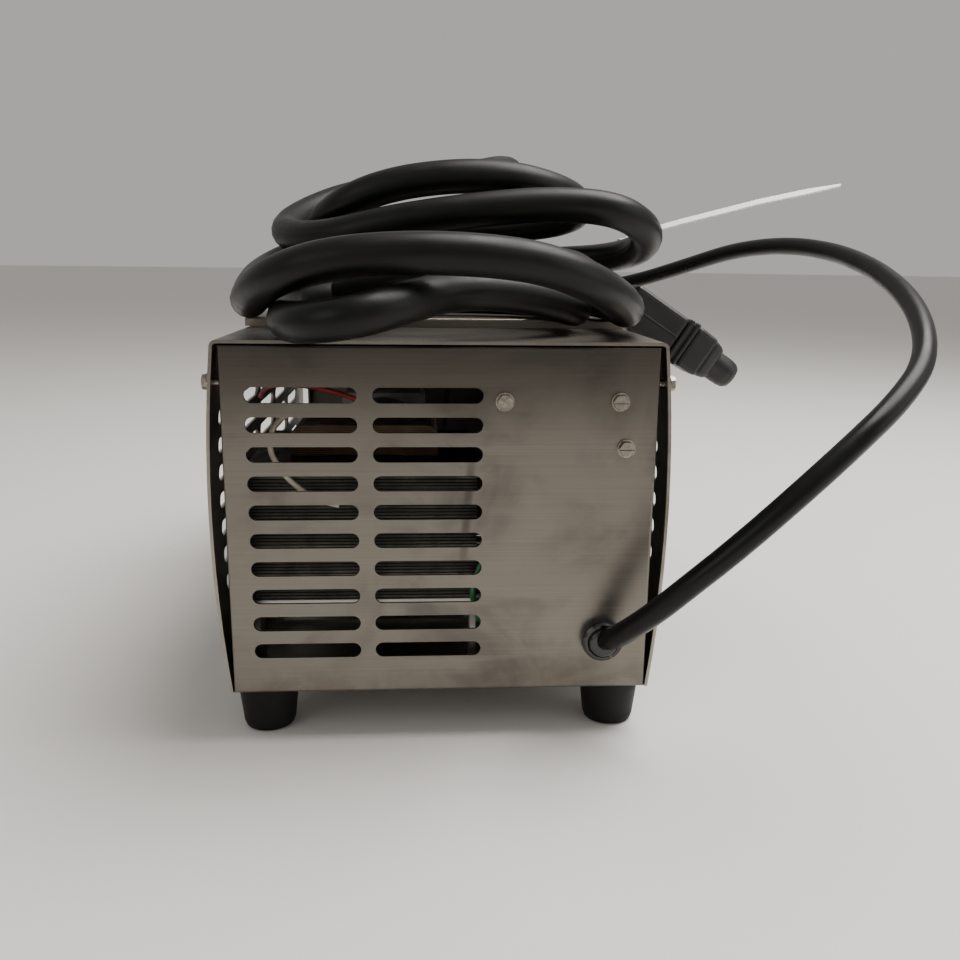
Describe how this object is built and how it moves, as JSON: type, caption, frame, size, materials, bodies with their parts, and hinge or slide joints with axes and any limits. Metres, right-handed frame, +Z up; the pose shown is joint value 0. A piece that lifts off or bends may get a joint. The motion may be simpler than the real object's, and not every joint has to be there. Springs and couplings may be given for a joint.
{
  "type": "peristaltic pump",
  "caption": "Bench peristaltic pump in a vented stainless case on rubber feet, roller head with clear door, speed and power controls, mains cord and a coiled heavy cable.",
  "frame": {"origin": "centre of the case's own box, on the surface the feet stand on", "axes": "+Z up, -Y towards the cord panel, +Y towards the pump head"},
  "size_m": [0.364, 0.5514, 0.3144],
  "materials": {
    "brushed_steel": "satin brushed stainless sheet",
    "plated_screw": "bright zinc plating",
    "foot_rubber": "semi-gloss moulded rubber",
    "lamination_steel": "varnished laminations",
    "copper_winding": "varnished paper over copper",
    "bracket_steel": "black paint",
    "motor_paint": "black enamel",
    "cast_alloy": "bead-blasted die casting",
    "board_green": "solder mask",
    "capacitor_sleeve": "shrink sleeve",
    "wire_beige": "vinyl insulation",
    "wire_green": "vinyl insulation",
    "wire_red": "vinyl insulation",
    "head_plastic": "moulded engineering plastic",
    "machined_alloy": "turned",
    "ground_steel": "ground",
    "bronze": "sintered",
    "silicone_tube": "translucent silicone",
    "connector_plastic": "moulded nylon",
    "clear_door": "clear acrylic",
    "lever_plastic": "moulded",
    "cam_steel": "ground",
    "black_plastic": "moulded",
    "toggle_metal": "bright",
    "lamp_red": "polished lens",
    "cord_rubber": "smooth jacket",
    "cable_rubber": "matt jacket",
    "tie_nylon": "natural nylon"
  },
  "bodies": {
    "case": {"cable_gland": "black_plastic", "cable_tie": "tie_nylon", "capacitor": "capacitor_sleeve", "chassis_pan": "brushed_steel", "connector_cap": "cable_rubber", "control_board": "board_green", "cord_bushing": "black_plastic", "cover": "brushed_steel", "cover_screws": "plated_screw", "direction_switch_base": "toggle_metal", "drive_motor": "motor_paint", "foot_front_left": "foot_rubber", "foot_front_right": "foot_rubber", "foot_rear_left": "foot_rubber", "foot_rear_right": "foot_rubber", "foot_screws": "plated_screw", "gearbox": "cast_alloy", "gland_nut": "black_plastic", "heat_sink": "cast_alloy", "heavy_cable": "cable_rubber", "heavy_cable_coil": "cable_rubber", "heavy_connector": "cable_rubber", "hinge_brackets": "cast_alloy", "hinge_pin": "plated_screw", "mains_cord": "cord_rubber", "mains_cord_coil": "cord_rubber", "mains_plug": "cord_rubber", "panel_screws": "plated_screw", "pilot_lamp": "lamp_red", "power_switch_frame": "black_plastic", "pump_head_housing": "head_plastic", "pump_panel": "brushed_steel", "pump_tube": "silicone_tube", "shaft_bushing": "bronze", "speed_potentiometer": "black_plastic", "top_plate": "brushed_steel", "transformer_brackets": "bracket_steel", "transformer_core": "lamination_steel", "transformer_winding": "copper_winding", "tube_connector_left": "connector_plastic", "tube_connector_right": "connector_plastic", "wire_beige": "wire_beige", "wire_green": "wire_green", "wire_red": "wire_red"},
    "rotor": {"drive_shaft": "ground_steel", "rotor_back_plate": "machined_alloy", "rotor_hub": "machined_alloy", "rotor_front_plate": "machined_alloy", "roller_pins": "ground_steel", "rotor_bolt": "plated_screw"},
    "roller_1": {"roller_1": "ground_steel"},
    "roller_2": {"roller_2": "ground_steel"},
    "roller_3": {"roller_3": "ground_steel"},
    "door": {"head_door": "clear_door"},
    "lever": {"occlusion_lever": "lever_plastic", "occlusion_cam": "cam_steel"},
    "shoe": {"track_shoe": "head_plastic"},
    "knob": {"speed_knob": "black_plastic"},
    "rocker": {"power_rocker": "black_plastic"},
    "toggle": {"direction_toggle": "toggle_metal"}
  },
  "joints": [
    {"name": "rotor_turn", "type": "hinge", "parent": "case", "child": "rotor", "pos_m": [-0.038, 0.1786, 0.097], "axis": [0, 1, 0], "continuous": true},
    {"name": "roller_1_spin", "type": "hinge", "parent": "rotor", "child": "roller_1", "pos_m": [-0.038, 0.1786, 0.1211], "axis": [0, 1, 0], "continuous": true},
    {"name": "roller_2_spin", "type": "hinge", "parent": "rotor", "child": "roller_2", "pos_m": [-0.05887, 0.1786, 0.08495], "axis": [0, 1, 0], "continuous": true},
    {"name": "roller_3_spin", "type": "hinge", "parent": "rotor", "child": "roller_3", "pos_m": [-0.01713, 0.1786, 0.08495], "axis": [0, 1, 0], "continuous": true},
    {"name": "door_hinge", "type": "hinge", "parent": "case", "child": "door", "pos_m": [-0.091, 0.2024, 0.108], "axis": [0, 0, 1], "range_deg": [0, 110]},
    {"name": "lever_turn", "type": "hinge", "parent": "case", "child": "lever", "pos_m": [-0.038, 0.1796, 0.145], "axis": [1, 0, 0], "range_deg": [0, 90]},
    {"name": "shoe_lift", "type": "slide", "parent": "case", "child": "shoe", "axis": [0, 0, 1], "range_m": [0, 0.0016]},
    {"name": "speed_turn", "type": "hinge", "parent": "case", "child": "knob", "pos_m": [0.048, 0.1536, 0.114], "axis": [0, -1, 0], "range_deg": [0, 300]},
    {"name": "power_rock", "type": "hinge", "parent": "case", "child": "rocker", "pos_m": [0.038, 0.1546, 0.066], "axis": [0, 0, -1], "range_deg": [0, 24]},
    {"name": "direction_tilt", "type": "hinge", "parent": "case", "child": "toggle", "pos_m": [0.074, 0.1541, 0.066], "axis": [1, 0, 0], "range_deg": [-12, 12]}
  ],
  "couplings": [
    {"joint": "roller_1_spin", "follows": "rotor_turn", "ratio": -4.7077},
    {"joint": "roller_2_spin", "follows": "rotor_turn", "ratio": -4.7077},
    {"joint": "roller_3_spin", "follows": "rotor_turn", "ratio": -4.7077},
    {"joint": "shoe_lift", "follows": "lever_turn", "m_per_rad": 0.0010186}
  ]
}
